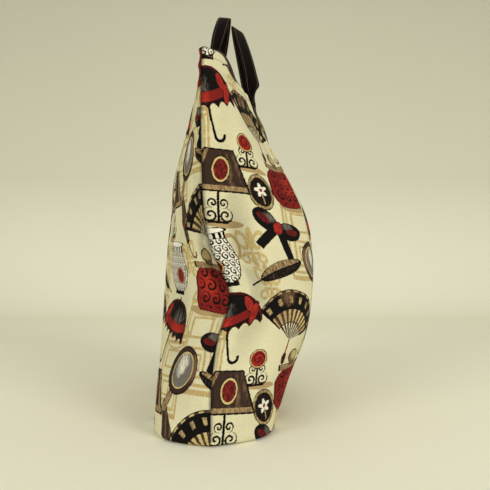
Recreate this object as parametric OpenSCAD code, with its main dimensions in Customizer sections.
// Boxed tote bag of jacquard cloth, lined, with two short strap handles.
// X runs across the bag from side seam to side seam, the front faces -Y and Z points up.
// The origin is the middle of the seam under the base, on the floor. Millimetres.

/* [Bag] */
// Height of the side seams at the mouth
bag_h = 394; // [300:1:460]
// Width across the side seams at the mouth
mouth_w = 422; // [380:1:470]
// Width across the side seams at the belly, which draws them in
belly_w = 350; // [320:1:380]
// Width across the side seams at the base
base_w = 374; // [350:1:400]
// Depth of the base from front to back
base_d = 141; // [110:1:170]
// Rounding where the walls turn under into the base
base_edge_r = 6; // [3:0.5:12]

/* [Front panel] */
// How far the front stands out from the middle at its fullest
front_belly = 120; // [95:1:135]
// How far the front edge of the mouth stands out
front_mouth = 61; // [45:1:75]
// How far the front edge of the mouth dips at its middle
front_dip = 26; // [0:1:40]
// Distance of the front corners from the middle, at the base
front_corner_base = 160; // [135:1:165]
// Distance of the front corners from the middle, at the belly
front_corner_belly = 133; // [110:1:150]

/* [Back panel] */
// How far the back stands out from the middle at its fullest
back_belly = 73; // [60:1:95]
// How far the back edge of the mouth stands out
back_mouth = 37; // [25:1:50]
// How far the back edge of the mouth dips at its middle
back_dip = 12; // [0:1:40]
// Distance of the back corners from the middle, at the base
back_corner_base = 168; // [150:1:172]
// Distance of the back corners from the middle, at the belly
back_corner_belly = 122; // [105:1:145]

/* [Cloth] */
// Thickness of the jacquard with its backing
cloth_t = 1.8; // [1:0.1:3]
// Thickness of the lining
lining_t = 0.8; // [0.5:0.1:1.5]
// Height that the lining's turned edge stands above the jacquard
lining_lip = 4; // [1:0.1:6]

/* [Handles] */
// Width of the strap
strap_w = 17; // [14:0.5:24]
// Thickness of the folded and stitched strap
strap_t = 2.6; // [2:0.1:4]
// Distance between the two sewn ends of one handle
strap_spread = 152; // [130:1:190]
// Length of strap that is sewn down on the panel
strap_sewn = 33; // [25:1:50]
// Height of the front handle's top above the mouth
front_rise = 117; // [90:1:150]
// Height of the back handle's top above the mouth
back_rise = 133; // [100:1:160]
// Tilt of the front handle's top towards the front, in degrees
front_tilt = 34; // [0:1:45]
// Tilt of the back handle's top towards the front, in degrees
back_tilt = 5; // [0:1:45]

/* [Hidden] */

// Cells across a panel and up it, and steps round its base edge
cells_u = 32;
cells_v = 16;
edge_steps = 3;
// Steps along the sewn end of a strap, and from the mouth to the top of its arch
sewn_steps = 4;
free_steps = 14;

// Air between the jacquard and its lining
lay_gap = 0.3;
// Air between a strap and the cloth under it
strap_gap = 0.8;
// How far the side seams sway to the front and to the back of the middle
seam_sway = 19;
// Stand-out at which each panel turns from the side into the face, at the mouth
front_turn = front_mouth;
back_turn = 15;
// Distance of the corners from the middle, at the mouth
front_corner_mouth = 190;
back_corner_mouth = 95;
// How far the handles' tops stand to the front of the middle
front_top_y = 23;
back_top_y = 7;
// Straight rise of a strap above the mouth, and its half run over the top of the arch
strap_lift = 26;
strap_arch = 22;
// Length of the front strap's ends that stands loose below the mouth
front_loose = 9;
// Bevel along the strap's edges
strap_bevel = 0.7;
// Depth of the hollow that a strap end draws into each panel, and its half width
front_pull = 8.5;
back_pull = 9;
pull_w = 66;

// Stations from the base to the mouth: how much of the belly and of the mouth each has
rise_shares = [0, 0.36, 0.8, 0.96, 1, 1, 1, 1, 1];
fall_shares = [0, 0, 0, 0, 0, 0.09, 0.38, 0.74, 1];
back_fall_shares = [0, 0, 0, 0.06, 0.18, 0.31, 0.34, 0.6, 1];
// Sway of the side seams at the same stations
sway_shares = [0.05, 0.06, 0.36, 1, -0.04, -0.43, -0.48, -0.47, -0.37];
// Dip of the mouth's edge from the middle of a panel to the seam, least where a strap draws it up
dip_shares = [1, 0.88, 0.52, 0.3, 0.4, 0.54, 0.47, -0.06, 0];
// Fullness of the corners at the base, belly and mouth, beside the seam and towards the middle
seam_full_shares = [1.1, 0.93, 0.34];
face_full_shares = [0.99, 0.94, 0.28];
back_seam_full_shares = [0.95, 0.7, 0.75];
back_face_full_shares = [0.97, 0.7, 0.5];
// Least opening between the panels at a seam that their linings reckon with
seam_wedge_share = 0.3;
// Height share from which the cloth is drawn in under the straps
pull_start_share = 0.5;
// Part of each free strap over which it turns from flat on the panel to flat on top
front_turn_share = 0.36;
back_turn_share = 1;
// Lean of the front strap away from the panel as it leaves it
front_lean_share = 0.3;

// Smooth value at height share v in a table of evenly spaced stations
function station(shares, v) =
    let (n = len(shares) - 1, s = min(max(v, 0), 1) * n, i = min(floor(s), n - 1), f = s - i,
         b = shares[i], c = shares[i + 1],
         a = i > 0 ? shares[i - 1] : 2 * b - c, d = i + 2 <= n ? shares[i + 2] : 2 * c - b)
    b + f * ((c - a) + f * ((2 * a - 5 * b + 4 * c - d) + f * (3 * b - a - 3 * c + d))) / 2;

// Size at height share v that runs from its base value through the belly's to the mouth's
function swell(base, belly, mouth, v, falls = fall_shares) =
    base + (belly - base) * station(rise_shares, v) + (mouth - belly) * station(falls, v);

function full(shares, v) = swell(shares[0], shares[1], shares[2], v);

function seam_x(v) = swell(base_w, belly_w, mouth_w, v) / 2;
function seam_out(v) = seam_sway * station(sway_shares, v);

// Stand-out of a panel's face, and of its corner, at height share v
function face_out(front, v) = front
    ? swell(base_d / 2, front_belly, front_mouth, v)
    : -swell(base_d / 2, back_belly, back_mouth, v, back_fall_shares);
function corner_out(front, v) = front
    ? swell(base_d / 2, front_belly, front_turn, v)
    : -swell(base_d / 2, back_belly, back_turn, v, back_fall_shares);
function corner_x(front, v) = front
    ? swell(front_corner_base, front_corner_belly, front_corner_mouth, v)
    : swell(back_corner_base, back_corner_belly, back_corner_mouth, v);

function bezier(a, b, c, d, t) =
    let (s = 1 - t) a * s ^ 3 + 3 * b * s ^ 2 * t + 3 * c * s * t ^ 2 + d * t ^ 3;

// Half of a level outline, from the seam (t = 0) round the corner to the middle (t = 1)
function outline(front, v, t) =
    let (seam = [seam_x(v), seam_out(v)], middle = [0, face_out(front, v)],
         corner = [corner_x(front, v), corner_out(front, v)],
         seam_full = full(front ? seam_full_shares : back_seam_full_shares, v),
         face_full = full(front ? face_full_shares : back_face_full_shares, v))
    bezier(seam, seam + (corner - seam) * seam_full,
           [corner[0] * face_full, middle[1]], middle, t);

// Height of the mouth over a place that lies a share of the way out from the middle to the seam
function mouth_height(front, out_share) =
    bag_h - (front ? front_dip : back_dip) * station(dip_shares, out_share);

// Hollow that a strap's pull draws into the cloth, deepest at the mouth
function pull(front, x, v) =
    let (s = max(0, (v - pull_start_share) / (1 - pull_start_share)),
         k = min(1, abs(x - strap_spread / 2) / pull_w))
    (front ? front_pull : back_pull) * s * s * (3 - 2 * s) * (1 - k * k) ^ 2;

// Point of a panel's outer face; u runs from -1 at one side seam to 1 at the other
function wall_point(front, u, v) =
    let (p = outline(front, v, 1 - abs(u)), drawn = pull(front, p[0], v))
    [sign(u) * p[0], front ? drawn - p[1] : -drawn - p[1],
     base_edge_r + (mouth_height(front, p[0] / seam_x(v)) - base_edge_r) * v];

// Point on the rounding under the wall; a runs from 0 on the floor to 90 at the wall
function edge_point(front, u, a) =
    let (p = wall_point(front, u, 0), drawn_in = base_edge_r * (1 - sin(a)))
    [p[0] * (1 - 2 * drawn_in / base_w),
     -seam_out(0) + (p[1] + seam_out(0)) * (1 - 2 * drawn_in / base_d), base_edge_r * (1 - cos(a))];

function panel_grid(front) = [
    for (k = [0 : edge_steps - 1])
        [for (i = [0 : cells_u]) edge_point(front, 2 * i / cells_u - 1, 90 * k / edge_steps)],
    for (j = [0 : cells_v])
        [for (i = [0 : cells_u]) wall_point(front, 2 * i / cells_u - 1, j / cells_v)]];

function unit(a) = a / norm(a);
function clamp(i, n) = min(max(i, 0), n);

// Outward normal at a grid point, straight down along the edge of the flat base
function grid_normal(g, j, i, front) =
    let (n = len(g) - 1, m = len(g[0]) - 1,
         across = g[j][clamp(i + 1, m)] - g[j][clamp(i - 1, m)],
         up = g[clamp(j + 1, n)][i] - g[clamp(j - 1, n)][i])
    j == 0 ? [0, 0, -1] : unit(front ? cross(across, up) : cross(up, across));

// Step inwards at a side seam that stays the same distance from both panels
function seam_step(j, i) =
    let (f = grid_normal(front_grid, j, i, true), b = grid_normal(back_grid, j, i, false))
    -(f + b) / max(1 + f * b, seam_wedge_share);

front_grid = panel_grid(true);
back_grid = panel_grid(false);

// The panel's grid moved inwards by a distance
function inset_grid(front, d) =
    let (g = front ? front_grid : back_grid, m = len(g[0]) - 1)
    [for (j = [0 : len(g) - 1]) [for (i = [0 : m])
        g[j][i] + d * (i == 0 || i == m ? seam_step(j, i)
                                        : -grid_normal(g, j, i, front))]];

// The same grid with its mouth edge run on upwards
function lipped(g, lip) =
    let (n = len(g) - 1)
    [for (j = [0 : n]) [for (i = [0 : len(g[j]) - 1])
        let (rise = g[n][i] - g[n - 1][i]) j == n ? g[n][i] + rise * lip / rise[2] : g[j][i]]];

// Closed shell between an outer and an inner grid, with a flat half base under each
module cloth_shell(outer, inner, front) {
    n = len(outer) - 1;
    m = len(outer[0]) - 1;
    size = (n + 1) * (m + 1);
    points = concat([for (row = outer) each row], [for (row = inner) each row]);
    function at(layer, j, i) = layer * size + j * (m + 1) + i;
    function quad(a, b, c, d) = [[a, b, c], [a, c, d]];
    walls = [for (j = [0 : n - 1]) for (i = [0 : m - 1]) each concat(
        quad(at(0, j, i), at(0, j + 1, i), at(0, j + 1, i + 1), at(0, j, i + 1)),
        quad(at(1, j, i), at(1, j, i + 1), at(1, j + 1, i + 1), at(1, j + 1, i)))];
    mouth = [for (i = [0 : m - 1]) each
        quad(at(0, n, i), at(1, n, i), at(1, n, i + 1), at(0, n, i + 1))];
    seams = [for (j = [0 : n - 1]) each concat(
        quad(at(0, j, 0), at(1, j, 0), at(1, j + 1, 0), at(0, j + 1, 0)),
        quad(at(0, j, m), at(0, j + 1, m), at(1, j + 1, m), at(1, j, m)))];
    base = [[for (i = [0 : m]) at(0, 0, i)], [for (i = [m : -1 : 0]) at(1, 0, i)],
            [at(0, 0, m), at(1, 0, m), at(1, 0, 0), at(0, 0, 0)]];
    faces = concat(walls, mouth, seams, base);
    polyhedron(points, front ? faces : [for (f = faces) [for (k = [len(f) - 1 : -1 : 0]) f[k]]]);
}

module panel(front) {
    cloth_shell(front ? front_grid : back_grid, inset_grid(front, cloth_t), front);
}

module lining(front) {
    cloth_shell(lipped(inset_grid(front, cloth_t + lay_gap), lining_lip),
                lipped(inset_grid(front, cloth_t + lay_gap + lining_t), lining_lip), front);
}

// Place along a level outline at a given distance from the middle, found by halving
function find_t(front, v, x, lo = 0, hi = 1, left = 24) =
    let (t = (lo + hi) / 2)
    left == 0 ? t : outline(front, v, t)[0] > x ? find_t(front, v, x, t, hi, left - 1)
                                                : find_t(front, v, x, lo, t, left - 1);

// Frame on a panel under the strap at height share v: place, direction across and outward normal
function seat(front, v) =
    let (t = find_t(front, v, strap_spread / 2), u = t - 1, du = 1 / cells_u, dv = 1 / cells_v,
         across = wall_point(front, u + du, v) - wall_point(front, u - du, v),
         up = wall_point(front, u, v) - wall_point(front, u, v - dv))
    [wall_point(front, u, v), unit(across), unit(front ? cross(across, up) : cross(up, across))];

// Middle of the strap, with the directions across it and along it, from its sewn end to the top
function strap_half(front) =
    let (stand = strap_t / 2 + strap_gap, tall = mouth_height(front, strap_spread / mouth_w),
         low_share = 1 - strap_sewn / tall, loose_share = 1 - (front ? front_loose : 0) / tall,
         edge = seat(front, loose_share),
         start = edge[0] + edge[2] * stand,
         top = [0, -(front ? front_top_y : back_top_y), bag_h + (front ? front_rise : back_rise)],
         leave = front ? unit([0, -front_lean_share, 1]) : cross(edge[1], edge[2]),
         turn_share = front ? front_turn_share : back_turn_share,
         over = front ? [0, cos(front_tilt), sin(front_tilt)] : -[0, cos(back_tilt), sin(back_tilt)],
         way = [start, start + leave * strap_lift, top - [strap_arch, 0, 0], top])
    concat(
        [for (k = [0 : sewn_steps - 1])
            let (s = seat(front, low_share + (loose_share - low_share) * k / sewn_steps))
            [s[0] + s[2] * stand, s[1], cross(s[2], s[1]) * (front ? 1 : -1)]],
        [for (k = [0 : free_steps])
            let (t = k / free_steps, dt = 1 / free_steps / 2,
                 ahead = unit(bezier(way[0], way[1], way[2], way[3], min(t + dt, 1))
                            - bezier(way[0], way[1], way[2], way[3], max(t - dt, 0))),
                 s = min(1, t / turn_share), ease = s * s * (3 - 2 * s),
                 lie = edge[1] * (1 - ease) + over * ease)
            [bezier(way[0], way[1], way[2], way[3], t), unit(lie - ahead * (lie * ahead)), ahead]]);

// One handle: the half strap and its mirror image, swept with a bevelled section
module handle(front) {
    half = strap_half(front);
    far = [for (k = [len(half) - 2 : -1 : 0])
        let (s = half[k], flip = [-1, 1, 1])
        [[for (a = [0 : 2]) s[0][a] * flip[a]], [for (a = [0 : 2]) s[1][a] * flip[a]],
         [for (a = [0 : 2]) -s[2][a] * flip[a]]]];
    way = concat(half, far);
    w = strap_w / 2;
    t = strap_t / 2;
    b = strap_bevel;
    section = [[w - b, t], [b - w, t], [-w, t - b], [-w, b - t],
               [b - w, -t], [w - b, -t], [w, b - t], [w, t - b]];
    sides = len(section);
    rings = len(way);
    points = [for (s = way) for (p = section) s[0] + s[1] * p[0] + cross(s[2], s[1]) * p[1]];
    skin = [for (j = [0 : rings - 2]) for (i = [0 : sides - 1])
        let (k = (i + 1) % sides, a = j * sides, c = a + sides)
        each [[a + i, c + k, a + k], [a + i, c + i, c + k]]];
    ends = [[for (i = [0 : sides - 1]) i], [for (i = [sides - 1 : -1 : 0]) (rings - 1) * sides + i]];
    polyhedron(points, concat(skin, ends));
}

module front_panel() { color([0.80, 0.76, 0.60]) panel(true); }

module back_panel() { color([0.78, 0.74, 0.58]) panel(false); }

module front_lining() { color([0.22, 0.15, 0.12]) lining(true); }

module back_lining() { color([0.24, 0.16, 0.13]) lining(false); }

module front_handle() { color([0.16, 0.09, 0.07]) handle(true); }

module back_handle() { color([0.17, 0.10, 0.08]) handle(false); }

front_panel();
back_panel();
front_lining();
back_lining();
front_handle();
back_handle();
